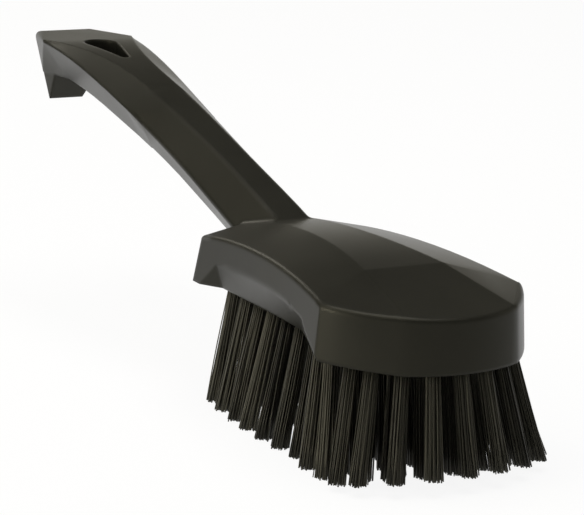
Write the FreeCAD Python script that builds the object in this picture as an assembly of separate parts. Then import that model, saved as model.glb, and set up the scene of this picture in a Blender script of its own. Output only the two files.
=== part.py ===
import FreeCAD, Part
import math
import os

# Hand brush for washing: a one-piece moulded body (block, rising handle and hanging hook) and
# bristle tufts, each folded over a flat wire staple and driven into its own drilled hole.
# Working frame: x = 0 where the nose arc begins, +X towards the nose, y = 0 on the symmetry
# plane, z = 0 at the trimmed bristle tips. Millimetres.

V = FreeCAD.Vector

# ---- bristles and block height ----
bristle_length = 36.8           # free length of a tuft under the level part of the block

# ---- block outline, measured on its underside ----
nose_length = 25.3              # from the nose creases to the front of the nose
nose_corner_x = 21.4            # where the front of the nose meets its two flatter flanks
nose_corner_half_width = 19.1
nose_corner_turn = 30.0         # degrees from the X axis of the way out at these corners
nose_flank_bulge = 1.3          # the flanks stand this much outside a straight line
crease_half_width = 35.8        # half the width at the nose creases
block_length_behind = 90.0      # from the nose creases back to the rear wall
rear_half_width = 26.6
waist_sag = 1.3                 # the sides are drawn in by this much half way along
side_draft = 4.6                # degrees that the side and nose walls lean in
rear_draft = 13.0               # degrees that the rear wall leans forward
outline_height = 34.0           # height over which the drafted outline is drawn
outline_skirt = 6.0             # the outline also reaches this far down, to be trimmed

# ---- underside: level at the back, then drooping a little towards the nose ----
underside_bend_x = -38.0
underside_droop = 0.040         # fall per unit length

# ---- block top ----
strip_crest_x = -44.0           # the central strip is a shallow arch
strip_crest_height = 22.6       # above the underside
strip_radius = 250.0
strip_front_x = -11.0           # here the strip breaks into the nose face
nose_face_slope = 0.20          # fall of the nose face per unit length
ridge_crest_x = -38.0           # the two big bevels meet on an imaginary ridge
ridge_crest_height = 24.5
ridge_radius = 300.0
bevel_slope = 0.21              # sideways fall of the bevels

# ---- finger scallops: ruled between a profile inside their lower edge and one outside the wall.
# The points are x, ahead of the rear wall for the first two and from the nose creases for the
# others, and height above the underside, from the back foot over the crest to the front foot ----
scallop_edge_half_width = 25.2  # lower edge of the scallops at the nose creases
scallop_edge_taper = 0.034      # it narrows this much per unit towards the back
scallop_overrun = 2.0           # the profiles stand this far inside the edge and outside the wall
scallop_inner_back = ((9.0, -6.0), (10.4, -4.1))
scallop_inner_front = ((-50.0, -3.6), (-29.8, -2.3), (-28.4, -2.8), (-22.7, -6.0))
scallop_outer_back = ((-5.0, -6.0), (18.3, 15.9))
scallop_outer_front = ((-50.0, 19.3), (-5.9, 11.1), (-2.8, 6.8), (13.6, -6.0))

# ---- handle: hexagonal sections square to its top line ----
# x ahead of the block's rear wall, height of the top line above the underside, lean in degrees,
# half width of the top face, half width and depth of the widest line, half width and depth of
# the bottom face
handle_sections = (
    (26.0, 17.2, 19.5, 5.4, 14.1, 9.2, 8.0, 16.0),
    (-5.0, 27.9, 17.8, 5.4, 14.0, 8.7, 7.4, 18.0),
    (-35.0, 37.2, 16.5, 5.2, 13.7, 7.6, 6.6, 18.0),
    (-65.0, 45.5, 14.0, 5.8, 14.3, 6.4, 6.3, 18.0),
    (-95.0, 52.0, 10.0, 6.8, 15.8, 4.2, 6.5, 17.5),
    (-115.0, 54.7, 4.5, 10.8, 16.8, 2.3, 7.0, 16.0),
    (-132.0, 55.4, 0.0, 17.2, 17.6, 0.8, 7.2, 14.5),
)

# ---- handle end and hook ----
end_length = 21.0               # from the last section to the rear edge of the top face
end_half_width = 11.5
end_bottom_half_width = 9.8     # the lower facets of the handle open out to this
hook_drop = 24.4                # from the top face to the tip of the hook
hook_rear_lean = 2.5            # the tip stands this far ahead of the rear edge
hook_tip_half_width = 6.5
hook_tip_thickness = 1.8
hook_face_lean = 12.5 / 15.8    # the hook's inner face runs forward this much per unit height

# ---- hanging hole: a teardrop that points to the block, placed from the handle's rear edge ----
hole_wide_ahead = 31.5
hole_wide_radius = 5.9
hole_narrow_ahead = 49.5
hole_narrow_radius = 1.7

# ---- tufts and staples ----
edge_inset = 4.2                # tuft centre to the edge of the underside
row_pitch = 8.8
across_pitch = 8.8
first_row_inset = 13.0          # from the rear wall
last_row_inset = 6.5            # from the nose creases
arc_pitch = 6.9
arc_end_ahead = 11.0            # the arcs end this far ahead of the last row
front_row_gap = 6.5             # least distance of the innermost arc from the last row
tuft_wall = 1.9                 # least plastic between two holes
tuft_hole_diameter = 5.0
tuft_clearance = 0.15
tuft_tip_diameter = 6.2
tuft_sides = 8                  # holes and tufts are drawn with this many flat sides
hole_depth = 9.0
fold_gap = 0.2                  # between the fold of a tuft and the bottom of its hole
field_half_limit = 26.0         # no tuft stands further than this from the middle
rear_row_lean = -2.5            # how far the tips of the rows stand ahead of their roots
front_row_lean = 7.5
side_lean_rear = 4.6            # how far the outer tips of a row stand outwards of their roots
side_lean_front = 5.2
side_lean_bulge = 4.0           # and this much more half way along the rows
nose_lean = 7.2                 # how far the tips of the arcs stand ahead of their roots
nose_spread = 0.30              # and outwards, as a share of the distance from the middle
nose_trim_slope = 0.175         # rise of the trimmed tips ahead of the last row
staple_length = 4.7
staple_height = 1.8
staple_thickness = 0.4
staple_depth = 5.6              # from the underside to the lower edge of a staple

underside = bristle_length
rear_x = -block_length_behind
end_x = rear_x + handle_sections[-1][0] - end_length
end_top_z = underside + handle_sections[-1][1]
side_taper = (crease_half_width - rear_half_width) / block_length_behind
overrun = outline_height        # construction solids run past the block by this
far = 4 * block_length_behind   # and the largest of them are larger than the brush


def arc_edge(start, middle, end):
    return Part.Arc(start, middle, end).toShape()


def half_space(p1, p2, p3, inside):
    """A large solid on that side of a plane which holds the point `inside`."""
    normal = (p2 - p1).cross(p3 - p1).normalize()
    if normal.dot(inside - p1) < 0:
        normal = normal * -1.0
    box = Part.makeBox(far, far, far, p1, normal)
    return box.translate(p1 + normal * (far / 2) - box.CenterOfMass)


def underside_z(x):
    return underside - underside_droop * max(0.0, x - underside_bend_x)


def drawn_in(height):
    """How far the drafted side and nose walls stand in at a height above the underside."""
    return height * math.tan(math.radians(side_draft))


def nose_corner(height, side):
    side_in, turn = drawn_in(height), math.radians(nose_corner_turn)
    return V(nose_corner_x - side_in * math.cos(turn),
             side * (nose_corner_half_width - side_in * math.sin(turn)), underside + height)


def crease_point(height, side):
    return V(0, side * (crease_half_width - drawn_in(height)), underside + height)


def flank_edge(height, side):
    """Shallow arc from a nose corner back to its crease."""
    corner, crease = nose_corner(height, side), crease_point(height, side)
    chord = crease - corner
    out = V(abs(chord.y), side * abs(chord.x), 0).normalize()
    return arc_edge(corner, (corner + crease) * 0.5 + out * nose_flank_bulge, crease)


def side_edge(height, side):
    """Side of the block, drawn in a little at its waist, from the crease to the rear wall."""
    rear_in = height * math.tan(math.radians(rear_draft))
    crease = crease_point(height, side)
    rear_y = rear_half_width + side_taper * rear_in - drawn_in(height)
    rear = V(rear_x + rear_in, side * rear_y, crease.z)
    waist = (crease + rear) * 0.5 - V(0, side * waist_sag, 0)
    return arc_edge(crease, waist, rear)


def outline(height):
    """Block outline at a height above the underside, drawn in by its drafts."""
    front = V(nose_length - drawn_in(height), 0, underside + height)
    near, far_side = side_edge(height, -1), side_edge(height, 1)
    return Part.Wire([
        near,
        flank_edge(height, -1),
        arc_edge(nose_corner(height, -1), front, nose_corner(height, 1)),
        flank_edge(height, 1),
        far_side,
        Part.makeLine(far_side.lastVertex().Point, near.lastVertex().Point),
    ])


def strip_z(x):
    drop = strip_radius - math.sqrt(strip_radius ** 2 - (x - strip_crest_x) ** 2)
    return underside + strip_crest_height - drop


def ridge_z(x):
    drop = ridge_radius - math.sqrt(ridge_radius ** 2 - (x - ridge_crest_x) ** 2)
    return underside + ridge_crest_height - drop


def nose_face_z(x):
    return strip_z(strip_front_x) - nose_face_slope * (x - strip_front_x)


def profile_slab():
    """Side profile of the block, from its underside to the arched strip and the nose face."""
    back, front = rear_x - overrun, nose_length + overrun
    reach = crease_half_width + overrun
    profile = Part.Wire([
        arc_edge(V(back, 0, strip_z(back)), V(strip_crest_x, 0, strip_z(strip_crest_x)),
                 V(strip_front_x, 0, strip_z(strip_front_x))),
        Part.makeLine(V(strip_front_x, 0, strip_z(strip_front_x)), V(front, 0, nose_face_z(front))),
        Part.makeLine(V(front, 0, nose_face_z(front)), V(front, 0, underside_z(front))),
        Part.makeLine(V(front, 0, underside_z(front)), V(underside_bend_x, 0, underside)),
        Part.makeLine(V(underside_bend_x, 0, underside), V(back, 0, underside)),
        Part.makeLine(V(back, 0, underside), V(back, 0, strip_z(back))),
    ])
    slab = Part.Face(profile).extrude(V(0, 2 * reach, 0))
    return slab.translate(V(0, -reach, 0))


def bevel_roof():
    """Everything under the two big bevels, which fall away from the ridge."""
    back, front = rear_x - overrun, nose_length + overrun
    reach = crease_half_width + overrun
    low = underside - overrun
    profile = Part.Wire([
        arc_edge(V(back, 0, ridge_z(back)), V(ridge_crest_x, 0, ridge_z(ridge_crest_x)),
                 V(front, 0, ridge_z(front))),
        Part.makeLine(V(front, 0, ridge_z(front)), V(front, 0, low)),
        Part.makeLine(V(front, 0, low), V(back, 0, low)),
        Part.makeLine(V(back, 0, low), V(back, 0, ridge_z(back))),
    ])
    face = Part.Face(profile)
    near = face.extrude(V(0, -reach, -reach * bevel_slope))
    return near.fuse(face.extrude(V(0, reach, -reach * bevel_slope)))


def fan_panel(side):
    """Half space under the triangular panel between a bevel and the nose face."""
    corner_y = (ridge_z(strip_front_x) - strip_z(strip_front_x)) / bevel_slope
    strip_corner = V(strip_front_x, side * corner_y, strip_z(strip_front_x))
    crease = crease_point(ridge_z(0) - bevel_slope * crease_half_width - underside, side)
    crease.z = ridge_z(0) - bevel_slope * abs(crease.y)
    corner = nose_corner(nose_face_z(nose_corner_x) - underside, side)
    corner.z = nose_face_z(corner.x)
    return half_space(strip_corner, crease, corner, V(0, 0, underside))


def scallop_edge_y(x):
    return scallop_edge_half_width + scallop_edge_taper * x


def wall_y(x):
    """Straight line from the crease to the rear corner of the underside."""
    return crease_half_width + side_taper * min(x, 0)


def scallop_profile(back_points, front_points, side, width_at):
    """Closed profile in an upright plane; `width_at` gives half the width for an x."""
    stations = [(rear_x + x, height) for x, height in back_points] + list(front_points)
    start_x, end_x = stations[0][0], stations[-1][0]
    slope = (width_at(end_x) - width_at(start_x)) / (end_x - start_x)
    points = [V(x, side * (width_at(start_x) + slope * (x - start_x)), underside + height)
              for x, height in stations]
    back_foot, back_top, crest, front_top, knee, front_foot = points
    return Part.Wire([
        Part.makeLine(back_foot, back_top),
        arc_edge(back_top, crest, front_top),
        Part.makeLine(front_top, knee),
        Part.makeLine(knee, front_foot),
        Part.makeLine(front_foot, back_foot),
    ])


def scallop(side):
    """The material taken off under a side wall, for the fingers."""
    inner = scallop_profile(scallop_inner_back, scallop_inner_front, side,
                            lambda x: scallop_edge_y(x) - scallop_overrun)
    outer = scallop_profile(scallop_outer_back, scallop_outer_front, side,
                            lambda x: crease_half_width + side_taper * x + scallop_overrun)
    return Part.makeLoft([inner, outer], True, True)


def block():
    solid = Part.makeLoft([outline(-outline_skirt), outline(outline_height)], True, True)
    solid = solid.common(profile_slab()).common(bevel_roof())
    for side in (-1, 1):
        solid = solid.common(fan_panel(side))
    for side in (-1, 1):
        solid = solid.cut(scallop(side))
    return solid


def handle_wire(ahead, rise, lean, top_half, wide_half, wide_depth, bottom_half, depth):
    """Hexagon square to the handle's top line."""
    down = V(-math.sin(math.radians(lean)), 0, -math.cos(math.radians(lean)))
    origin = V(rear_x + ahead, 0, underside + rise)
    ring = [(-top_half, 0), (-wide_half, wide_depth), (-bottom_half, depth),
            (bottom_half, depth), (wide_half, wide_depth), (top_half, 0)]
    points = [origin + V(0, y, 0) + down * d for y, d in ring]
    return Part.makePolygon(points + points[:1])


def handle_end():
    """The flat end of the handle, with its cut corners and the hook under its rear edge."""
    ahead, rise, _, top_half, wide_half, wide_depth, bottom_half, depth = handle_sections[-1]
    front_x = rear_x + ahead
    inside = V(front_x, 0, end_top_z - depth / 2)
    tail = Part.makeLoft([
        handle_wire(ahead, rise, 0.0, top_half, wide_half, wide_depth, bottom_half, depth),
        handle_wire(ahead - end_length, rise, 0.0, top_half, wide_half, wide_depth,
                    end_bottom_half_width, depth),
    ], True, True)
    tip_x, tip_z = end_x + hook_rear_lean, end_top_z - hook_drop
    root_z = inside.z
    hook_front = tip_x + hook_tip_thickness
    reach = hook_front + hook_face_lean * (root_z - tip_z)
    profile = Part.makePolygon([
        V(end_x, 0, tip_z), V(hook_front, 0, tip_z), V(reach, 0, root_z), V(end_x, 0, root_z),
        V(end_x, 0, tip_z)])
    hook = Part.Face(profile).extrude(V(0, 2 * wide_half, 0)).translate(V(0, -wide_half, 0))
    rear = half_space(V(end_x, -1, end_top_z), V(end_x, 1, end_top_z), V(tip_x, 0, tip_z), inside)
    tail = tail.common(rear)
    hook = hook.common(rear)
    for side in (-1, 1):
        rear_corner = V(end_x, side * end_half_width, end_top_z)
        wide_corner = V(front_x, side * wide_half, end_top_z)
        tip_corner = V(tip_x, side * hook_tip_half_width, tip_z)
        tail = tail.common(half_space(rear_corner, wide_corner, tip_corner, inside))
        hook = hook.common(half_space(rear_corner, tip_corner, tip_corner + V(1, 0, 0), inside))
    return tail.fuse(hook)


def handle():
    bar = Part.makeLoft([handle_wire(*section) for section in handle_sections], True, False)
    return bar.fuse(handle_end())


def hanging_hole():
    """Two circles and their common tangents, through the end of the handle."""
    hole_wide_x, hole_narrow_x = end_x + hole_wide_ahead, end_x + hole_narrow_ahead
    angle = math.acos((hole_wide_radius - hole_narrow_radius) / (hole_narrow_x - hole_wide_x))
    low, high = end_top_z - hook_drop, end_top_z + hole_wide_radius

    def on_circle(x, radius, turn):
        return V(x + radius * math.cos(turn), radius * math.sin(turn), low)

    near_wide = on_circle(hole_wide_x, hole_wide_radius, -angle)
    far_wide = on_circle(hole_wide_x, hole_wide_radius, angle)
    near_narrow = on_circle(hole_narrow_x, hole_narrow_radius, -angle)
    far_narrow = on_circle(hole_narrow_x, hole_narrow_radius, angle)
    wire = Part.Wire([
        Part.makeLine(near_wide, near_narrow),
        arc_edge(near_narrow, V(hole_narrow_x + hole_narrow_radius, 0, low), far_narrow),
        Part.makeLine(far_narrow, far_wide),
        arc_edge(far_wide, V(hole_wide_x - hole_wide_radius, 0, low), near_wide),
    ])
    return Part.Face(wire).extrude(V(0, 0, high - low))


def field_half_width(x):
    """How far from the middle an outer tuft may stand, from the edges of the underside."""
    pocket_x = scallop_inner_front[-1][0]
    pocket_y = scallop_edge_y(pocket_x)
    diagonal = pocket_y + (crease_half_width - pocket_y) * (x - pocket_x) / -pocket_x
    edge = min(max(scallop_edge_y(x), diagonal), wall_y(x))
    return min(edge - edge_inset, field_half_limit)


def last_row_x():
    return -last_row_inset


def straight_rows():
    """Roots and tips of the rows across the block, from the back."""
    first_x = rear_x + first_row_inset
    gaps = round((last_row_x() - first_x) / row_pitch)
    length = last_row_x() - first_x
    return [straight_row(first_x + length * k / gaps, k / gaps) for k in range(gaps + 1)]


def straight_row(x, along):
    """One row; `along` runs from 0 at the rear row to 1 at the front row."""
    half = field_half_width(x)
    forward = rear_row_lean + (front_row_lean - rear_row_lean) * along
    outward = side_lean_rear + (side_lean_front - side_lean_rear) * along
    outward += side_lean_bulge * 4 * along * (1 - along)
    count = 1 + round(2 * half / across_pitch)
    tufts = []
    for k in range(count):
        share = -1 + 2 * k / (count - 1)
        root = V(x, share * half, underside_z(x))
        tufts.append((root, V(x + forward, root.y + share * outward, 0)))
    return tufts


def nose_arcs():
    """Roots and tips of the arcs that follow the nose, from the outermost."""
    room = nose_length - edge_inset - front_row_gap - last_row_x()
    return [nose_arc(index) for index in range(1 + math.floor(room / arc_pitch))]


def nose_arc(index):
    radius_edge = (crease_half_width ** 2 + nose_length ** 2) / (2 * nose_length)
    centre_x = nose_length - radius_edge
    radius = radius_edge - edge_inset - arc_pitch * index
    end_angle = math.acos(min(1.0, (last_row_x() + arc_end_ahead - centre_x) / radius))
    gaps = 2 * round(end_angle * radius / across_pitch)
    tufts = []
    for k in range(gaps + 1):
        turn = end_angle * (2 * k / gaps - 1) if gaps else 0.0
        x = centre_x + radius * math.cos(turn)
        limit = field_half_width(x) - index * (tuft_hole_diameter + tuft_wall)
        y = max(-limit, min(limit, radius * math.sin(turn)))
        trim_z = nose_trim_slope * (x + nose_lean - last_row_x() - front_row_lean)
        tip = V(x + nose_lean, y * (1 + nose_spread), trim_z)
        tufts.append((V(x, y, underside_z(x)), tip))
    return tufts


def ring(centre, radius):
    step = 2 * math.pi / tuft_sides
    points = [centre + V(radius * math.cos(step * k), radius * math.sin(step * k), 0)
              for k in range(tuft_sides)]
    return points + points[:1]


def stacked_rings(rings):
    """Closed solid with flat sides between level rings."""
    faces = [Part.Face(Part.makePolygon(rings[0])), Part.Face(Part.makePolygon(rings[-1]))]
    for low, high in zip(rings, rings[1:]):
        for k in range(tuft_sides):
            corners = [low[k], low[k + 1], high[k + 1], high[k], low[k]]
            faces.append(Part.Face(Part.makePolygon(corners)))
    solid = Part.Solid(Part.Shell(faces))
    if solid.Volume < 0:
        solid.reverse()
    return solid


def tuft_axis(root, tip):
    return (root - tip).normalize()


def tuft_hole(root, tip):
    up = tuft_axis(root, tip)
    radius = tuft_hole_diameter / 2
    return stacked_rings([ring(root - up * 2, radius), ring(root + up * hole_depth, radius)])


def staple(root, tip):
    """A short flat strip across the hole, in the fold of the tuft."""
    up = tuft_axis(root, tip)
    strip = Part.makeBox(staple_thickness, staple_length, staple_height,
                         V(-staple_thickness / 2, -staple_length / 2, 0))
    turn = FreeCAD.Rotation(V(0, 0, 1), up)
    strip.Placement = FreeCAD.Placement(root + up * staple_depth, turn)
    return strip


def tuft(root, tip):
    up = tuft_axis(root, tip)
    inner_radius = tuft_hole_diameter / 2 - tuft_clearance
    fold = root + up * (hole_depth - fold_gap)
    return stacked_rings([
        ring(fold, inner_radius), ring(root, inner_radius), ring(tip, tuft_tip_diameter / 2)])


def build():
    """Returns the nodes, each a name and a shape."""
    rows = [("row_%02d" % (i + 1), tufts) for i, tufts in enumerate(straight_rows())]
    rows += [("nose_arc_%d" % (i + 1), tufts) for i, tufts in enumerate(nose_arcs())]
    holes = [tuft_hole(root, tip) for _, tufts in rows for root, tip in tufts]
    body = block().fuse(handle()).removeSplitter()
    body = body.cut(hanging_hole()).cut(Part.makeCompound(holes))
    nodes = [("brush_body", body)]
    for name, tufts in rows:
        staples = [staple(root, tip) for root, tip in tufts]
        bundles = [tuft(root, tip).cut(clip) for (root, tip), clip in zip(tufts, staples)]
        nodes.append(("tufts_" + name, Part.makeCompound(bundles)))
        nodes.append(("staples_" + name, Part.makeCompound(staples)))
    return nodes


def main():
    os.makedirs("parts", exist_ok=True)
    nodes = build()
    bounds = FreeCAD.BoundBox()
    for _, shape in nodes:
        bounds.add(shape.BoundBox)
    middle = V(-bounds.Center.x, 0, 0)
    for name, shape in nodes:
        shape.translate(middle)
        shape.exportStep(os.path.join("parts", name + ".step"))
        print(name, len(shape.Solids), shape.isValid(), round(shape.Volume, 1))
    print("length", round(bounds.XLength, 2), "width", round(bounds.YLength, 2),
          "height", round(bounds.ZLength, 2), "shift", round(middle.x, 3))


main()
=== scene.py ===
"""Looks of a moulded hand brush: plastic body, filament tufts, wire staples, floor and lights."""

import logging
import math
from dataclasses import dataclass, field
from enum import Enum, IntEnum

import bmesh
import bpy
import numpy as np
from mathutils import Matrix, Vector
from mathutils.geometry import convex_hull_2d


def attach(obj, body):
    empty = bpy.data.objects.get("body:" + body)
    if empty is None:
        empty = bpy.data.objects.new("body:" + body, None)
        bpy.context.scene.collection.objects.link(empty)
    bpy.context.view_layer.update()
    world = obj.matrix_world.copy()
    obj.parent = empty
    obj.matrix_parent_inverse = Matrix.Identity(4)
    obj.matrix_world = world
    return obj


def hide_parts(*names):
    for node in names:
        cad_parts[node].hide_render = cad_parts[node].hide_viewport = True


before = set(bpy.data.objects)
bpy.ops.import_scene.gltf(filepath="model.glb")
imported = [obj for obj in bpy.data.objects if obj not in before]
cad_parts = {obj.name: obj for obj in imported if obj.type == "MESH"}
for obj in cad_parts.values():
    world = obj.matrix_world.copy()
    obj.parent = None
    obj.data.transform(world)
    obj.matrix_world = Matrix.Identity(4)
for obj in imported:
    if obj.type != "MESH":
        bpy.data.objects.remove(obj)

log = logging.getLogger("hand_brush")

MM = 0.001
GOLDEN_ANGLE = math.pi * (3 - math.sqrt(5))
SAME_PLACE_DECIMALS = 7
# Per-vertex tone of the filaments: their own random tone, with painted shade on the inner tufts.
FIBRE_TONE_AND_SHADE = "fibre_tone"

Colour = tuple[float, float, float, float]
WHITE: Colour = (1.0, 1.0, 1.0, 1.0)


# ---------------------------------------------------------------- mesh helpers

class Domain(Enum):
    """The elements of a mesh that can carry a value each."""

    VERTICES = "POINT"
    EDGES = "EDGE"


def mesh_arrays(mesh: bpy.types.Mesh) -> tuple[np.ndarray, np.ndarray]:
    """Reads a mesh as numpy arrays.

    Args:
        mesh: the mesh to read.

    Returns:
        The vertices as an (n, 3) array, and the triangles as an (m, 3) array of vertex numbers.
    """
    points = np.zeros(len(mesh.vertices) * 3)
    mesh.vertices.foreach_get("co", points)
    mesh.calc_loop_triangles()
    triangles = np.zeros(len(mesh.loop_triangles) * 3, dtype=np.int64)
    mesh.loop_triangles.foreach_get("vertices", triangles)
    return points.reshape(-1, 3), triangles.reshape(-1, 3)


def separate_solids(points: np.ndarray, triangles: np.ndarray) -> list[np.ndarray]:
    """Splits loose triangles into the solids that they close.

    Vertices at one place count as one. Every triangle then gives its lowest label to its three
    corners, again and again, until nothing changes.

    Args:
        points: (n, 3) vertices.
        triangles: (m, 3) vertex numbers.

    Returns:
        One (k, 3) array of vertices for each solid.
    """
    places, welded = np.unique(np.round(points, SAME_PLACE_DECIMALS), axis=0, return_inverse=True)
    corners = welded.reshape(-1)[triangles]
    labels = np.arange(len(places))
    while True:
        lowest = labels[corners].min(axis=1)
        spread = labels.copy()
        np.minimum.at(spread, corners.ravel(), np.repeat(lowest, 3))
        if np.array_equal(spread, labels):
            break
        labels = spread
    return [places[labels == label] for label in np.unique(labels)]


def quad_mesh(name: str, points: np.ndarray, quads: np.ndarray) -> bpy.types.Object:
    """Makes a smooth mesh object of four-cornered faces.

    Args:
        name: the object's name.
        points: (n, 3) vertices in metres.
        quads: (m, 4) vertex numbers, anticlockwise seen from outside.

    Returns:
        The new object, linked to the scene.
    """
    mesh = bpy.data.meshes.new(name)
    mesh.vertices.add(len(points))
    mesh.vertices.foreach_set("co", points.astype(np.float32).ravel())
    mesh.loops.add(quads.size)
    mesh.loops.foreach_set("vertex_index", quads.astype(np.int32).ravel())
    mesh.polygons.add(len(quads))
    mesh.polygons.foreach_set("loop_start", np.arange(0, quads.size, 4, dtype=np.int32))
    mesh.polygons.foreach_set("use_smooth", np.ones(len(quads), dtype=bool))
    mesh.update(calc_edges=True)
    mesh.validate()
    piece = bpy.data.objects.new(name, mesh)
    bpy.context.scene.collection.objects.link(piece)
    return piece


def store_values(mesh: bpy.types.Mesh, name: str, domain: Domain, values: np.ndarray) -> None:
    """Stores one value for each vertex or each edge of a mesh.

    Args:
        mesh: the mesh.
        name: the name under which a material or a modifier finds the values.
        domain: what the values belong to.
        values: the values, truth values or numbers.
    """
    is_truth = values.dtype == bool
    layer = mesh.attributes.new(name, "BOOLEAN" if is_truth else "FLOAT", domain.value)
    layer.data.foreach_set("value", values if is_truth else values.astype(np.float32))


# ---------------------------------------------------------------- shader nodes

class Socket(Enum):
    """The kinds of group socket that the effects use."""

    VALUE = "NodeSocketFloat"
    COLOUR = "NodeSocketColor"


class ColourMix(IntEnum):
    """Places of the colour sockets of a Mix node, whose names the other modes share."""

    FACTOR = 0
    RESULT = 2
    FIRST = 6
    SECOND = 7


@dataclass
class NodeSheet:
    """A node tree under construction, with short ways to add nodes to it and to join them."""

    tree: bpy.types.NodeTree

    def node(self, kind: str, inputs: dict[str, float | Colour] | None = None,
             **settings: object) -> bpy.types.Node:
        """Adds a node.

        Args:
            kind: Blender's name for the type of node.
            inputs: values for its inputs, by their names.
            settings: values for its properties, by their names.

        Returns:
            The node.
        """
        made = self.tree.nodes.new(kind)
        for key, value in settings.items():
            setattr(made, key, value)
        for key, value in (inputs or {}).items():
            made.inputs[key].default_value = value
        return made

    def link(self, source: bpy.types.NodeSocket, target: bpy.types.NodeSocket) -> None:
        """Joins an output to an input."""
        self.tree.links.new(source, target)


class NodeGroup(NodeSheet):
    """A shader node group under construction, with named inputs and outputs."""

    def __init__(self, name: str) -> None:
        """Makes the empty group and its two end nodes.

        Args:
            name: the group's name.
        """
        super().__init__(bpy.data.node_groups.new(name, "ShaderNodeTree"))
        self.start = self.node("NodeGroupInput")
        self.end = self.node("NodeGroupOutput")

    def takes(self, kind: Socket, *names: str) -> None:
        """Adds input sockets of one kind."""
        for name in names:
            self.tree.interface.new_socket(name, in_out="INPUT", socket_type=kind.value)

    def gives(self, kind: Socket, *names: str) -> None:
        """Adds output sockets of one kind."""
        for name in names:
            self.tree.interface.new_socket(name, in_out="OUTPUT", socket_type=kind.value)


@dataclass(frozen=True)
class MouldedGrain:
    """Surface of a spark-eroded mould: fine pits over slow swirls where the melt flowed."""

    pit_detail: float = 3.0
    pit_roughness: float = 0.6
    swirl_detail: float = 2.0
    swirl_distortion: float = 0.3

    def group(self) -> bpy.types.NodeTree:
        """Builds the group.

        The height is the pit noise times its share, plus the swirl noise times the rest. The
        swirl alone goes out as a mask, for a slow change of colour and roughness.

        Returns:
            The group, with inputs Pit Scale, Swirl Scale and Pit Share, and outputs Height and
            Swirl.
        """
        group = NodeGroup("moulded_grain")
        group.takes(Socket.VALUE, "Pit Scale", "Swirl Scale", "Pit Share")
        group.gives(Socket.VALUE, "Height", "Swirl")
        place = group.node("ShaderNodeTexCoord")
        pits = group.node("ShaderNodeTexNoise",
                          {"Detail": self.pit_detail, "Roughness": self.pit_roughness})
        swirl = group.node("ShaderNodeTexNoise",
                           {"Detail": self.swirl_detail, "Distortion": self.swirl_distortion})
        blend = group.node("ShaderNodeMix", data_type="FLOAT")
        for noise, scale in ((pits, "Pit Scale"), (swirl, "Swirl Scale")):
            group.link(place.outputs["Object"], noise.inputs["Vector"])
            group.link(group.start.outputs[scale], noise.inputs["Scale"])
        group.link(group.start.outputs["Pit Share"], blend.inputs["Factor"])
        group.link(swirl.outputs["Fac"], blend.inputs["A"])
        group.link(pits.outputs["Fac"], blend.inputs["B"])
        group.link(blend.outputs["Result"], group.end.inputs["Height"])
        group.link(swirl.outputs["Fac"], group.end.inputs["Swirl"])
        return group.tree


@dataclass(frozen=True)
class TwoTone:
    """Two colours and two roughnesses, blended by one mask."""

    def group(self) -> bpy.types.NodeTree:
        """Builds the group.

        The mask is stretched between two limits first, so that Low gives Dark and Smooth, and
        High gives Light and Rough.

        Returns:
            The group, with inputs Mask, Low, High, Dark, Light, Smooth and Rough, and outputs
            Colour and Roughness.
        """
        group = NodeGroup("two_tone")
        group.takes(Socket.VALUE, "Mask", "Low", "High")
        group.takes(Socket.COLOUR, "Dark", "Light")
        group.takes(Socket.VALUE, "Smooth", "Rough")
        group.gives(Socket.COLOUR, "Colour")
        group.gives(Socket.VALUE, "Roughness")
        given = group.start.outputs
        stretch = group.node("ShaderNodeMapRange")
        colour = group.node("ShaderNodeMix", data_type="RGBA")
        rough = group.node("ShaderNodeMix", data_type="FLOAT")
        mask = stretch.outputs["Result"]
        for source, target in (
            (given["Mask"], stretch.inputs["Value"]),
            (given["Low"], stretch.inputs["From Min"]),
            (given["High"], stretch.inputs["From Max"]),
            (mask, colour.inputs[ColourMix.FACTOR]),
            (given["Dark"], colour.inputs[ColourMix.FIRST]),
            (given["Light"], colour.inputs[ColourMix.SECOND]),
            (mask, rough.inputs["Factor"]),
            (given["Smooth"], rough.inputs["A"]),
            (given["Rough"], rough.inputs["B"]),
            (colour.outputs[ColourMix.RESULT], group.end.inputs["Colour"]),
            (rough.outputs["Result"], group.end.inputs["Roughness"]),
        ):
            group.link(source, target)
        return group.tree


@dataclass
class Effects:
    """The shared node groups, each built once."""

    grain: bpy.types.NodeTree = field(default_factory=MouldedGrain().group)
    two_tone: bpy.types.NodeTree = field(default_factory=TwoTone().group)


class MaterialSheet(NodeSheet):
    """A material under construction, with its Principled shader."""

    def __init__(self, name: str) -> None:
        """Makes the material and finds its shader.

        Args:
            name: the material's name.
        """
        self.material = bpy.data.materials.new(name)
        self.material.use_nodes = True
        super().__init__(self.material.node_tree)
        self.shader = self.tree.nodes["Principled BSDF"]

    def effect(self, group: bpy.types.NodeTree,
               inputs: dict[str, float | Colour]) -> bpy.types.Node:
        """Places a node group.

        Args:
            group: the group.
            inputs: values for its inputs, by their names.

        Returns:
            The node that stands for the group.
        """
        placed = self.node("ShaderNodeGroup", node_tree=group)
        for key, value in inputs.items():
            placed.inputs[key].default_value = value
        return placed


# ---------------------------------------------------------------- finishes

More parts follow.
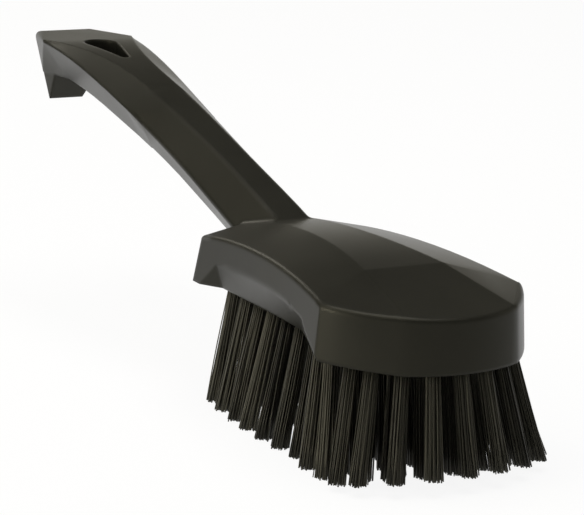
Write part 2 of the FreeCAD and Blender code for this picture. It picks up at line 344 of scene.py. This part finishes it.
@dataclass(frozen=True)
class Finish:
    """A surface of two tones under a fine grain. The finishes below give the values.

    Attributes:
        dark, light: the two tones.
        smooth, rough: the roughness that goes with each of them.
        mask_low, mask_high: where the mask gives the first tone, and where the second.
        pit_scale, swirl_scale, pit_share: the inputs of the grain.
        grain_strength, grain_height: how much of the grain shows, and how high it is in metres.
        reflectance, reflection_tint: how strongly the surface reflects, and in what colour.
        edge_radius: the radius to which the light rounds the edges, in metres, or 0.
        edge_samples: how many times a point looks for the edges around it.
    """

    name: str
    dark: Colour
    light: Colour
    smooth: float
    rough: float
    mask_low: float
    mask_high: float
    pit_scale: float
    swirl_scale: float
    pit_share: float
    grain_strength: float
    grain_height: float
    metallic: float = 0.0
    reflectance: float = 0.5
    reflection_tint: Colour = WHITE
    edge_radius: float = 0.0
    edge_samples: int = 6

    def mask(self, sheet: MaterialSheet, grain: bpy.types.Node) -> bpy.types.NodeSocket:
        """Gives what blends the two tones: the slow swirl of the grain."""
        return grain.outputs["Swirl"]

    def rounded_normal(self, sheet: MaterialSheet) -> bpy.types.NodeSocket:
        """Gives a normal that rounds the edges in the light alone."""
        rounding = sheet.node("ShaderNodeBevel", {"Radius": self.edge_radius},
                              samples=self.edge_samples)
        return rounding.outputs["Normal"]

    def material(self, effects: Effects) -> bpy.types.Material:
        """Builds the material.

        Args:
            effects: the shared node groups.

        Returns:
            The material.
        """
        sheet = MaterialSheet(self.name)
        shader = sheet.shader.inputs
        shader["Metallic"].default_value = self.metallic
        shader["Specular IOR Level"].default_value = self.reflectance
        shader["Specular Tint"].default_value = self.reflection_tint
        grain = sheet.effect(effects.grain, {
            "Pit Scale": self.pit_scale, "Swirl Scale": self.swirl_scale,
            "Pit Share": self.pit_share})
        tone = sheet.effect(effects.two_tone, {
            "Low": self.mask_low, "High": self.mask_high, "Dark": self.dark,
            "Light": self.light, "Smooth": self.smooth, "Rough": self.rough})
        bump = sheet.node("ShaderNodeBump", {
            "Strength": self.grain_strength, "Distance": self.grain_height})
        sheet.link(self.mask(sheet, grain), tone.inputs["Mask"])
        sheet.link(tone.outputs["Colour"], shader["Base Color"])
        sheet.link(tone.outputs["Roughness"], shader["Roughness"])
        sheet.link(grain.outputs["Height"], bump.inputs["Height"])
        if self.edge_radius:
            sheet.link(self.rounded_normal(sheet), bump.inputs["Normal"])
        sheet.link(bump.outputs["Normal"], shader["Normal"])
        return sheet.material


@dataclass(frozen=True)
class SatinPlastic(Finish):
    """Black polypropylene, as it leaves a finely eroded mould."""

    name: str = "satin_black_plastic"
    dark: Colour = (0.0118, 0.0115, 0.0092, 1.0)
    light: Colour = (0.0168, 0.0164, 0.0130, 1.0)
    smooth: float = 0.28
    rough: float = 0.34
    mask_low: float = 0.2
    mask_high: float = 0.8
    pit_scale: float = 2600.0
    swirl_scale: float = 26.0
    pit_share: float = 1.0
    grain_strength: float = 0.12
    grain_height: float = 0.12 * MM
    reflectance: float = 0.13
    reflection_tint: Colour = (1.0, 0.97, 0.77, 1.0)
    edge_radius: float = 1.5 * MM


@dataclass(frozen=True)
class BristleFibre(Finish):
    """Black drawn filament, with a tone of its own for each fibre, darkened by painted shade on the
    inner tufts.
    """

    name: str = "bristle_fibre"
    dark: Colour = (0.0045, 0.0044, 0.0038, 1.0)
    light: Colour = (0.1000, 0.0960, 0.0740, 1.0)
    smooth: float = 0.34
    rough: float = 0.50
    mask_low: float = 0.0
    mask_high: float = 1.0
    pit_scale: float = 1800.0
    swirl_scale: float = 160.0
    pit_share: float = 0.5
    grain_strength: float = 0.15
    grain_height: float = 0.05 * MM
    reflectance: float = 0.2
    reflection_tint: Colour = (1.0, 0.97, 0.80, 1.0)

    def mask(self, sheet: MaterialSheet, grain: bpy.types.Node) -> bpy.types.NodeSocket:
        """Gives what blends the two tones: the tone that each fibre stores, painted shade included.
        """
        return sheet.node("ShaderNodeAttribute", attribute_name=FIBRE_TONE_AND_SHADE).outputs["Fac"]


@dataclass(frozen=True)
class StapleWire(Finish):
    """Flat stainless wire, drawn and cut."""

    name: str = "staple_wire"
    dark: Colour = (0.42, 0.42, 0.41, 1.0)
    light: Colour = (0.66, 0.66, 0.64, 1.0)
    smooth: float = 0.28
    rough: float = 0.4
    mask_low: float = 0.3
    mask_high: float = 0.7
    pit_scale: float = 3500.0
    swirl_scale: float = 400.0
    pit_share: float = 0.6
    grain_strength: float = 0.1
    grain_height: float = 0.05 * MM
    metallic: float = 1.0


# ---------------------------------------------------------------- body

@dataclass(frozen=True)
class EdgeTable:
    """The edges of a mesh, one row each.

    Attributes:
        ends: the numbers of the two vertices.
        line: the places of the two vertices.
        angle: the angle between the normals of the two faces.
        smaller: the area of the smaller of the two faces.
    """

    ends: np.ndarray
    line: np.ndarray
    angle: np.ndarray
    smaller: np.ndarray

    @classmethod
    def read(cls, mesh: bpy.types.Mesh) -> "EdgeTable":
        """Reads the edges of a closed mesh.

        Args:
            mesh: the mesh.

        Returns:
            The table.
        """
        faces, edges = len(mesh.polygons), len(mesh.edges)
        normals, areas = np.zeros(faces * 3), np.zeros(faces)
        sizes, around = np.zeros(faces, dtype=np.int32), np.zeros(len(mesh.loops), dtype=np.int32)
        points, ends = np.zeros(len(mesh.vertices) * 3), np.zeros(edges * 2, dtype=np.int32)
        mesh.polygons.foreach_get("normal", normals)
        mesh.polygons.foreach_get("area", areas)
        mesh.polygons.foreach_get("loop_total", sizes)
        mesh.loops.foreach_get("edge_index", around)
        mesh.vertices.foreach_get("co", points)
        mesh.edges.foreach_get("vertices", ends)
        normals, ends = normals.reshape(-1, 3), ends.reshape(-1, 2)
        owner = np.repeat(np.arange(faces), sizes)
        first, last = np.zeros(edges, dtype=np.int64), np.zeros(edges, dtype=np.int64)
        first[around[::-1]] = owner[::-1]
        last[around] = owner
        cosine = (normals[first] * normals[last]).sum(1).clip(-1, 1)
        return cls(ends, points.reshape(-1, 3)[ends], np.arccos(cosine),
                   np.minimum(areas[first], areas[last]))

    @property
    def length(self) -> np.ndarray:
        """The length of each edge."""
        return np.linalg.norm(self.line[:, 1] - self.line[:, 0], axis=1)

    @property
    def height(self) -> np.ndarray:
        """The height of the middle of each edge."""
        return self.line[..., 2].mean(1)


@dataclass(frozen=True)
class MouldedBody:
    """Block, handle and hook in one moulding, smooth on curved faces and creased between them.

    Attributes:
        weld: vertices nearer to each other than this become one.
        least_edge: edges shorter than this go.
        flat_angle: facets that turn by less than this become one face.
        corner_angle: an edge that turns by more than this is a corner.
        crease_angle, sliver_area: the least angle and face area of a slight crease.
        panel_crease_angle, panel_area: the same for a crease between two wide panels.
        crease_height: slight creases and rims lie above this height.
        end_depth, end_top_depth: how far the handle's end reaches in from the rear and the top.
        end_edge_length: the edges that are rounded there are longer than this.
        end_rounding, end_steps: the width of their rounding and its number of steps.
        rim_rounding: the width to which the rims are rounded.
        rim_from, rim_taper: where that starts, and the length over which it grows.
        straight_on: the cosine at which a neighbour of an edge counts as the same line.
        room_share: the part of the room beside an edge that its rounding may take.
    """

    node: str = "brush_body"
    weld: float = 0.02 * MM
    least_edge: float = 0.002 * MM
    flat_angle: float = math.radians(0.7)
    corner_angle: float = math.radians(24.0)
    crease_angle: float = math.radians(8.0)
    panel_crease_angle: float = math.radians(3.0)
    panel_area: float = 120 * MM * MM
    sliver_area: float = 1.5 * MM * MM
    crease_height: float = 46 * MM
    end_depth: float = 3.2 * MM
    end_top_depth: float = 1.07 * MM
    end_edge_length: float = 8 * MM
    end_rounding: float = 2.4 * MM
    end_steps: int = 4
    rim_rounding: float = 1.0 * MM
    rim_from: float = -58 * MM
    rim_taper: float = 14 * MM
    straight_on: float = -0.93
    room_share: float = 0.4

    def merged_copy(self) -> bpy.types.Mesh:
        """Copies the solid's mesh, welds its loose triangles and merges its level facets.

        Returns:
            The copy.
        """
        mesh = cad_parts[self.node].data.copy()
        mesh.name = "moulding"
        work = bmesh.new()
        work.from_mesh(mesh)
        bmesh.ops.remove_doubles(work, verts=work.verts, dist=self.weld)
        bmesh.ops.dissolve_degenerate(work, dist=self.least_edge, edges=work.edges)
        bmesh.ops.dissolve_limit(work, angle_limit=self.flat_angle, verts=work.verts,
                                 edges=work.edges)
        bmesh.ops.recalc_face_normals(work, faces=work.faces)
        work.to_mesh(mesh)
        work.free()
        return mesh

    def creases(self, edges: EdgeTable) -> np.ndarray:
        """Finds the edges where the surface turns sharply.

        A corner is an edge of a great angle. A slight crease is one of the upper side: it parts
        two faces that aren't slivers at a small angle, or two wide panels at a still smaller
        one. Lower down, slight angles belong to curved walls.

        Args:
            edges: the edges of the merged copy of the solid.

        Returns:
            Whether each edge is a corner or a crease.
        """
        slight = ((edges.angle > self.crease_angle) & (edges.smaller > self.sliver_area)
                  | (edges.angle > self.panel_crease_angle) & (edges.smaller > self.panel_area))
        return (edges.angle > self.corner_angle) | slight & (edges.height > self.crease_height)

    def handle_end(self, edges: EdgeTable) -> np.ndarray:
        """Finds the long edges at the rear and the top of the handle's end.

        Args:
            edges: the edges of the merged copy of the solid.

        Returns:
            Whether each edge is one of them.
        """
        along, up = edges.line[..., 0], edges.line[..., 2]
        at_rear = along.max(1) < along.min() + self.end_depth
        at_top = up.min(1) > up.max() - self.end_top_depth
        upright = np.abs(up[:, 1] - up[:, 0]) > self.end_depth
        is_long = edges.length > self.end_edge_length
        return (at_rear & upright | at_top) & is_long & (edges.angle > self.corner_angle)

    def roundings(self, edges: EdgeTable) -> np.ndarray:
        """Finds how wide each edge is rounded, as a share of the handle end's rounding.

        The upper rims ahead of a set place are rounded as far as there is room beside them. The
        width tapers off to nothing at that place.

        Args:
            edges: the edges of the merged copy of the solid.

        Returns:
            The shares, 0 where an edge stays as it is.
        """
        along = edges.line[..., 0]
        rim = ((edges.angle > self.corner_angle) & (edges.height > self.crease_height)
               & (along.min(1) > self.rim_from))
        taper = ((along.mean(1) - self.rim_from) / self.rim_taper).clip(0, 1)
        width = np.minimum(self.room_beside(edges, rim), self.rim_rounding * taper)
        share = np.where(rim, width / self.end_rounding, 0.0)
        share[self.handle_end(edges)] = 1.0
        return share

    def room_beside(self, edges: EdgeTable, rounded: np.ndarray) -> np.ndarray:
        """Finds how wide each edge can be rounded before the rounding meets another edge's.

        An edge's rounding of width w takes the length w / sin(t) of a neighbour that leaves their
        common vertex at the angle t. So the width stays within a set part of the neighbour's
        length times sin(t). A neighbour that runs nearly straight on takes no part.

        Args:
            edges: the edges of the merged copy of the solid.
            rounded: whether each edge is rounded.

        Returns:
            The greatest width for each edge.
        """
        ends, length = edges.ends, edges.length
        ray = (edges.line[:, 1] - edges.line[:, 0]) / length[:, None]
        width = np.full(len(ends), np.inf)
        for mine, other in ((0, 0), (0, 1), (1, 0), (1, 1)):
            cosine = ray @ ray.T * (1 if mine == other else -1)
            meets = (ends[:, mine, None] == ends[None, :, other]) & rounded[None]
            np.fill_diagonal(meets, False)
            room = np.where(meets & (cosine > self.straight_on),
                            length[None] * np.sqrt(np.clip(1 - cosine ** 2, 0, 1)), np.inf)
            width = np.minimum(width, room.min(1))
        return self.room_share * width

    def build(self, finish: bpy.types.Material) -> None:
        """Builds the moulding, which stands for the solid.

        Args:
            finish: the material of the moulding.
        """
        mesh = self.merged_copy()
        mesh.shade_smooth()
        edges = EdgeTable.read(mesh)
        creases = self.creases(edges)
        store_values(mesh, "bevel_weight_edge", Domain.EDGES, self.roundings(edges))
        store_values(mesh, "sharp_edge", Domain.EDGES, creases)
        log.info("moulding: %d of %d edges creased", int(creases.sum()), len(creases))
        mesh.materials.clear()
        mesh.materials.append(finish)
        piece = bpy.data.objects.new("moulding", mesh)
        bpy.context.scene.collection.objects.link(piece)
        bevel = piece.modifiers.new("end_rounding", "BEVEL")
        bevel.width = self.end_rounding
        bevel.segments = self.end_steps
        bevel.limit_method = "WEIGHT"
        bevel.use_clamp_overlap = False
        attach(piece, "root")
        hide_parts(self.node)


# ---------------------------------------------------------------- bristles

@dataclass(frozen=True)
class TuftPlaces:
    """Where a group of tufts stands: folds in the block, tips at the floor, and both radii."""

    folds: np.ndarray
    tips: np.ndarray
    fold_radius: float
    tip_radius: float


@dataclass(frozen=True)
class BristleField:
    """All the tufts, each of many separate filaments that leave one hole and fan out.

    Attributes:
        prefix: what the names of the nodes of tufts start with.
        fibre_width, width_scatter: the width of a filament, and its scatter as a share.
        sides, turn_range: the sides of its section, and the range of their turn in radians.
        stations, station_power: the points along it, and how they crowd towards the tip.
        seat_depth, hidden_depth: the depth of the folds, and of the filaments made in the holes.
        end_ring_depth: a solid's vertices this near to its end belong to the ring there.
        place_scatter: the scatter of a filament in its tuft, as a share of the tuft's radius.
        spread_power, gather: how late a tuft widens, and how far, as a share of its solid.
        tip_scatter, bow: the scatter of the tips, and the bow between seat and tip.
        ragged, ragged_spread: how far the tips fall short, and how evenly they do.
        stray_share, stray_scatter: how many filaments stray, and how far.
        tuft_share: the part of the tuft's tone in that of a filament.
        tuft_tone, fibre_tone: the shapes of the two beta distributions of tones.
        edge_width: a tuft this near to the outline of the field is at its edge.
        inner_shade_share: the part of their tone that the other tufts keep, as painted shade.
    """

    prefix: str = "tufts_"
    fibres_per_tuft: int = 62
    fibre_width: float = 0.46 * MM
    width_scatter: float = 0.06
    sides: int = 4
    turn_range: float = 6.3
    stations: int = 7
    station_power: float = 0.9
    seat_depth: float = 8.8 * MM
    hidden_depth: float = 3.5 * MM
    end_ring_depth: float = 0.02 * MM

    place_scatter: float = 0.03
    spread_power: float = 1.3
    gather: float = 0.88
    tip_scatter: float = 0.20 * MM
    bow: float = 0.18 * MM
    ragged: float = 0.5 * MM
    ragged_spread: float = 0.45
    stray_share: float = 0.05
    stray_scatter: float = 1.0 * MM

    tuft_share: float = 0.5
    tuft_tone: tuple[float, float] = (1.6, 2.4)
    fibre_tone: tuple[float, float] = (0.8, 2.4)
    edge_width: float = 3.0 * MM
    # Painted shade: the inner tufts keep this share of their tone, as little light reaches them.
    inner_shade_share: float = 0.35
    seed: int = 20

    def places(self, node: str) -> TuftPlaces:
        """Finds the tufts of a node from the level rings at the ends of its solids.

        Args:
            node: the name of a node of tufts.

        Returns:
            The centres of the folds and tips, and the radii there.
        """
        solids = separate_solids(*mesh_arrays(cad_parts[node].data))
        tops = [solid[solid[:, 2] > solid[:, 2].max() - self.end_ring_depth] for solid in solids]
        ends = [solid[solid[:, 2] < solid[:, 2].min() + self.end_ring_depth] for solid in solids]
        folds = np.array([(ring.min(0) + ring.max(0)) / 2 for ring in tops])
        tips = np.array([(ring.min(0) + ring.max(0)) / 2 for ring in ends])
        fold_radius = float(np.linalg.norm(tops[0] - folds[0], axis=1).max())
        tip_radius = float(np.linalg.norm(ends[0] - tips[0], axis=1).max())
        return TuftPlaces(folds, tips, fold_radius, tip_radius)

    def paths(self, places: TuftPlaces, rng: np.random.Generator) -> np.ndarray:
        """Lays the centre lines of the filaments.

        A filament keeps its place in the tuft, as a point of a sunflower pattern in a unit disc.
        The disc's radius is that of the hole up to the underside and then grows to the radius of
        the tip. A half sine adds a small bow, and a square law adds scatter towards the tip.

        Args:
            places: where the tufts stand.
            rng: the source of chance.

        Returns:
            An array (tufts, fibres, stations, 3).
        """
        tufts, fibres = len(places.folds), self.fibres_per_tuft
        number = np.arange(fibres) + 0.5
        turn = number * GOLDEN_ANGLE + rng.uniform(0, 2 * math.pi, (tufts, 1))
        reach = np.sqrt(number / fibres) + rng.normal(0, self.place_scatter, (tufts, fibres))
        disc = np.stack([reach * np.cos(turn), reach * np.sin(turn), np.zeros_like(reach)],
                        axis=-1)
        axis = places.tips - places.folds
        length = np.linalg.norm(axis, axis=1)[:, None, None]
        seat = self.seat_depth / length
        start = (self.seat_depth - self.hidden_depth) / length
        short = np.abs(rng.normal(0, self.ragged_spread, (tufts, fibres, 1))).clip(0, 1)
        steps = np.linspace(0, 1, self.stations)[None, None, :] ** self.station_power
        along = start + (1 - short * self.ragged / length - start) * steps
        free = ((along - seat) / (1 - seat)).clip(0, 1)
        inner = places.fold_radius - self.fibre_width / 2
        outer = places.tip_radius * self.gather
        radius = inner + (outer - inner) * free ** self.spread_power
        stray = rng.uniform(0, 1, (tufts, fibres, 1, 1)) < self.stray_share
        spread = np.where(stray, self.stray_scatter, self.tip_scatter)
        sideways = np.array([1.0, 1.0, 0.0])
        scatter = rng.normal(0, 1, (tufts, fibres, 1, 3)) * sideways * spread
        bow = rng.normal(0, 1, (tufts, fibres, 1, 3)) * sideways * self.bow
        free = free[..., None]
        return (places.folds[:, None, None, :] + axis[:, None, None, :] * along[..., None]
                + disc[:, :, None, :] * radius[..., None]
                + scatter * free ** 2 + bow * np.sin(math.pi * free))

    def skin(self, paths: np.ndarray, rng: np.random.Generator) -> tuple[np.ndarray, np.ndarray]:
        """Wraps each centre line in a slim prism.

        A corner is the centre plus the half width times the cosine and sine of its angle along
        two directions square to the filament. The prism is closed by a face at each end.

        Args:
            paths: centre lines, (tufts, fibres, stations, 3).
            rng: the source of chance, for each prism's own turn and width.

        Returns:
            The vertices, (n, 3), and the faces, (m, 4).
        """
        lines = paths.reshape(-1, self.stations, 3)
        count = len(lines)
        along = lines[:, -1] - lines[:, 0]
        along /= np.linalg.norm(along, axis=1, keepdims=True)
        across = np.cross(along, [1.0, 0.0, 0.0])
        across /= np.linalg.norm(across, axis=1, keepdims=True)
        third = np.cross(along, across)
        angle = (np.arange(self.sides) * 2 * math.pi / self.sides
                 + rng.uniform(0, self.turn_range, (count, 1)))
        half = self.fibre_width / 2 * rng.normal(1, self.width_scatter, (count, 1, 1))
        corner = half * (np.cos(angle)[..., None] * across[:, None, :]
                         + np.sin(angle)[..., None] * third[:, None, :])
        points = lines[:, :, None, :] + corner[:, None, :, :]
        side = np.arange(self.sides)
        beside = (side + 1) % self.sides
        ring = np.arange(self.stations - 1)[:, None] * self.sides
        wall = np.stack([ring + side, ring + beside, ring + beside + self.sides,
                         ring + side + self.sides], axis=-1).reshape(-1, 4)
        last = (self.stations - 1) * self.sides
        one = np.concatenate([wall, [side[::-1], side + last]])
        first = np.arange(count)[:, None, None] * self.stations * self.sides
        return points.reshape(-1, 3), (one[None] + first).reshape(-1, 4)

    def at_edge(self, folds: np.ndarray) -> np.ndarray:
        """Finds the tufts at the edge of the field.

        A tuft is at the edge when it stands near the convex outline of all the tufts. Its
        distance from a side of the outline is that from the nearest point of the side.

        Args:
            folds: where all the tufts are folded, (tufts, 3).

        Returns:
            Whether each tuft is at the edge.
        """
        spots = folds[:, :2]
        corners = spots[convex_hull_2d([tuple(spot) for spot in spots])]
        side = np.roll(corners, -1, axis=0) - corners
        away = spots[:, None] - corners[None]
        share = ((away * side).sum(-1) / (side ** 2).sum(-1)).clip(0, 1)
        distance = np.linalg.norm(away - share[..., None] * side, axis=-1)
        return distance.min(axis=1) < self.edge_width

    def tones(self, at_edge: np.ndarray, rng: np.random.Generator) -> np.ndarray:
        """Draws one tone for each vertex, the same over a whole filament.

        A tone is a mean of the tuft's own and the filament's own: many dark, a few light. The
        tufts inside the field, which little light reaches, keep only a part of it, as painted
        shade.

        Args:
            at_edge: whether each tuft stands at the edge of the field.
            rng: the source of chance.

        Returns:
            The tones, from 0 to 1, painted shade included.
        """
        tufts = len(at_edge)
        own = rng.beta(*self.fibre_tone, (tufts, self.fibres_per_tuft))
        shared = rng.beta(*self.tuft_tone, (tufts, 1))
        tone = self.tuft_share * shared + (1 - self.tuft_share) * own
        # Painted shade: the tufts inside the field are darkened to a share of their tone.
        tone *= np.where(at_edge, 1.0, self.inner_shade_share)[:, None]
        return np.repeat(tone.ravel(), self.stations * self.sides)

    def build(self, finish: bpy.types.Material) -> None:
        """Builds one piece for each node of tufts, which then stands for it.

        Args:
            finish: the material of the filaments.
        """
        nodes = sorted(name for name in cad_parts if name.startswith(self.prefix))
        groups = [self.places(node) for node in nodes]
        folds = [places.folds for places in groups]
        first_of_next = np.cumsum([len(group) for group in folds])[:-1]
        at_edge = np.split(self.at_edge(np.concatenate(folds)), first_of_next)
        for index, (node, places) in enumerate(zip(nodes, groups)):
            rng = np.random.default_rng(self.seed + index)
            paths = self.paths(places, rng)
            points, quads = self.skin(paths, rng)
            piece = quad_mesh(node.replace(self.prefix, "fibres_"), points, quads)
            tones = self.tones(at_edge[index], rng)
            store_values(piece.data, FIBRE_TONE_AND_SHADE, Domain.VERTICES, tones)
            piece.data.materials.append(finish)
            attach(piece, "root")
            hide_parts(node)
            log.info("%s: %d filaments", piece.name, paths.shape[0] * paths.shape[1])


@dataclass(frozen=True)
class Staples:
    """The flat wires that hold the tufts, kept as the frame has them."""

    prefix: str = "staples_"

    def dress(self, finish: bpy.types.Material) -> None:
        """Gives every node of staples its finish.

        Args:
            finish: the material of the wire.
        """
        for name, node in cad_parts.items():
            if name.startswith(self.prefix):
                node.data.materials.clear()
                node.data.materials.append(finish)
                log.info("%s dressed", name)


# ---------------------------------------------------------------- studio

@dataclass(frozen=True)
class SoftLamp:
    """A large square lamp that looks at a point of the object."""

    name: str
    place: tuple[float, float, float]
    aim: tuple[float, float, float]
    side: float
    power: float
    colour: tuple[float, float, float] = (1.0, 0.955, 0.84)

    def build(self) -> None:
        """Makes the lamp."""
        data = bpy.data.lights.new(self.name, "AREA")
        data.shape = "SQUARE"
        data.size = self.side
        data.energy = self.power
        data.color = self.colour
        lamp = bpy.data.objects.new(self.name, data)
        lamp.location = self.place
        facing = Vector(self.aim) - Vector(self.place)
        lamp.rotation_euler = facing.to_track_quat("-Z", "Y").to_euler()
        bpy.context.scene.collection.objects.link(lamp)
        log.info("%s: %.0f W", self.name, self.power)


@dataclass(frozen=True)
class StudioCamera:
    """A camera on a sphere about its aim, turned a little about its own axis."""

    azimuth: float = math.radians(59.19)
    elevation: float = math.radians(13.33)
    roll: float = math.radians(2.46)
    distance: float = 0.850
    aim: tuple[float, float, float] = (0.018112, 0.00777, 0.04183)
    focal_length: float = 164.84
    sensor_width: float = 36.0

    def build(self) -> None:
        """Makes the camera and takes it into use."""
        level = math.cos(self.elevation)
        back = Vector((math.sin(self.azimuth) * level, -math.cos(self.azimuth) * level,
                       math.sin(self.elevation)))
        data = bpy.data.cameras.new("studio_camera")
        data.sensor_width = self.sensor_width
        data.lens = self.focal_length
        camera = bpy.data.objects.new("studio_camera", data)
        place = Matrix.Translation(Vector(self.aim) + back * self.distance)
        turn = back.to_track_quat("Z", "Y").to_matrix().to_4x4()
        camera.matrix_world = place @ turn @ Matrix.Rotation(self.roll, 4, "Z")
        bpy.context.scene.collection.objects.link(camera)
        bpy.context.scene.camera = camera


@dataclass(frozen=True)
class Studio:
    """Camera, pale floor, pale surroundings and soft lamps."""

    camera: StudioCamera = StudioCamera()
    floor_side: float = 6.0
    floor_colour: Colour = (0.85, 0.85, 0.84, 1.0)
    floor_roughness: float = 0.9
    floor_reflectance: float = 0.2
    floor_white_share: float = 0.9
    surround: float = 0.55
    cove: tuple[tuple[float, Colour], ...] = (
        (0.0, WHITE),
        (0.06, WHITE),
        (0.15, (0.45, 0.43, 0.34, 1.0)),
        (0.27, (0.09, 0.086, 0.070, 1.0)),
        (1.0, (0.05, 0.048, 0.040, 1.0)),
    )
    lamps: tuple[SoftLamp, ...] = (
        SoftLamp("top_lamp", (0.0, 0.0, 1.8), (0.0, 0.0, 0.04), 1.6, 30.0, (1.0, 0.99, 0.97)),
        SoftLamp("left_lamp", (0.0, -1.35, 0.20), (0.05, 0.0, 0.04), 0.4, 9.0),
        SoftLamp("fill_lamp", (-0.3, -0.9, 1.4), (0.0, 0.0, 0.04), 1.2, 9.0),
        SoftLamp("rear_lamp", (-1.5, 0.1, 0.95), (0.0, 0.0, 0.05), 0.5, 2.8),
        SoftLamp("back_lamp", (-1.6, 1.1, 0.40), (0.0, 0.0, 0.05), 0.8, 0.5),
        SoftLamp("right_lamp", (0.3, 1.5, 0.6), (0.05, 0.0, 0.04), 0.9, 1.8),
    )

    def seen(self, sheet: NodeSheet) -> bpy.types.NodeSocket:
        """Tells the rays that show a surface from those that light others.

        Args:
            sheet: the material or world under construction.

        Returns:
            An output of 1 for a ray of the camera, of a reflection or through glass, or else 0.
        """
        path = sheet.node("ShaderNodeLightPath")
        direct = sheet.node("ShaderNodeMath", operation="MAXIMUM")
        either = sheet.node("ShaderNodeMath", operation="MAXIMUM")
        sheet.link(path.outputs["Is Camera Ray"], direct.inputs[0])
        sheet.link(path.outputs["Is Glossy Ray"], direct.inputs[1])
        sheet.link(direct.outputs[0], either.inputs[0])
        sheet.link(path.outputs["Is Transmission Ray"], either.inputs[1])
        return either.outputs[0]

    def lay_floor(self) -> None:
        """Lays a pale floor that looks nearly white and keeps a faint shadow of the object."""
        half = self.floor_side / 2
        corners = np.array([(-half, -half, 0), (half, -half, 0), (half, half, 0), (-half, half, 0)])
        floor = quad_mesh("floor", corners, np.array([[0, 1, 2, 3]]))
        sheet = MaterialSheet("pale_floor")
        sheet.shader.inputs["Base Color"].default_value = self.floor_colour
        sheet.shader.inputs["Roughness"].default_value = self.floor_roughness
        sheet.shader.inputs["Specular IOR Level"].default_value = self.floor_reflectance
        share = sheet.node("ShaderNodeMath", operation="MULTIPLY")
        share.inputs[1].default_value = self.floor_white_share
        glow, mix = sheet.node("ShaderNodeEmission"), sheet.node("ShaderNodeMixShader")
        surface = sheet.tree.nodes["Material Output"].inputs["Surface"]
        sheet.link(self.seen(sheet), share.inputs[0])
        sheet.link(share.outputs[0], mix.inputs["Fac"])
        sheet.link(sheet.shader.outputs["BSDF"], mix.inputs[1])
        sheet.link(glow.outputs["Emission"], mix.inputs[2])
        sheet.link(mix.outputs["Shader"], surface)
        floor.data.materials.append(sheet.material)

    def light_world(self) -> None:
        """Surrounds the set with a cove that is pale at the floor and grey overhead."""
        world = bpy.data.worlds.new("studio")
        bpy.context.scene.world = world
        world.use_nodes = True
        sheet = NodeSheet(world.node_tree)
        background = sheet.tree.nodes["Background"]
        place, split = sheet.node("ShaderNodeTexCoord"), sheet.node("ShaderNodeSeparateXYZ")
        strength = sheet.node("ShaderNodeMapRange", {"To Min": self.surround})
        cove = sheet.node("ShaderNodeValToRGB")
        stops = cove.color_ramp.elements
        for stop, (position, colour) in zip(stops, (self.cove[0], self.cove[-1])):
            stop.position, stop.color = position, colour
        for position, colour in self.cove[1:-1]:
            stops.new(position).color = colour
        sheet.link(place.outputs["Generated"], split.inputs[0])
        sheet.link(split.outputs["Z"], cove.inputs[0])
        sheet.link(cove.outputs["Color"], background.inputs["Color"])
        sheet.link(self.seen(sheet), strength.inputs["Value"])
        sheet.link(strength.outputs["Result"], background.inputs["Strength"])

    def build(self) -> None:
        """Sets up the whole studio."""
        self.camera.build()
        self.lay_floor()
        self.light_world()
        for lamp in self.lamps:
            lamp.build()
        bpy.context.scene.view_settings.view_transform = "Standard"


def main() -> None:
    """Builds the pieces in order."""
    logging.basicConfig(level=logging.INFO, format="%(message)s")
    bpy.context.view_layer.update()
    effects = Effects()
    MouldedBody().build(SatinPlastic().material(effects))
    BristleField().build(BristleFibre().material(effects))
    Staples().dress(StapleWire().material(effects))
    Studio().build()


if __name__ == "__main__":
    main()
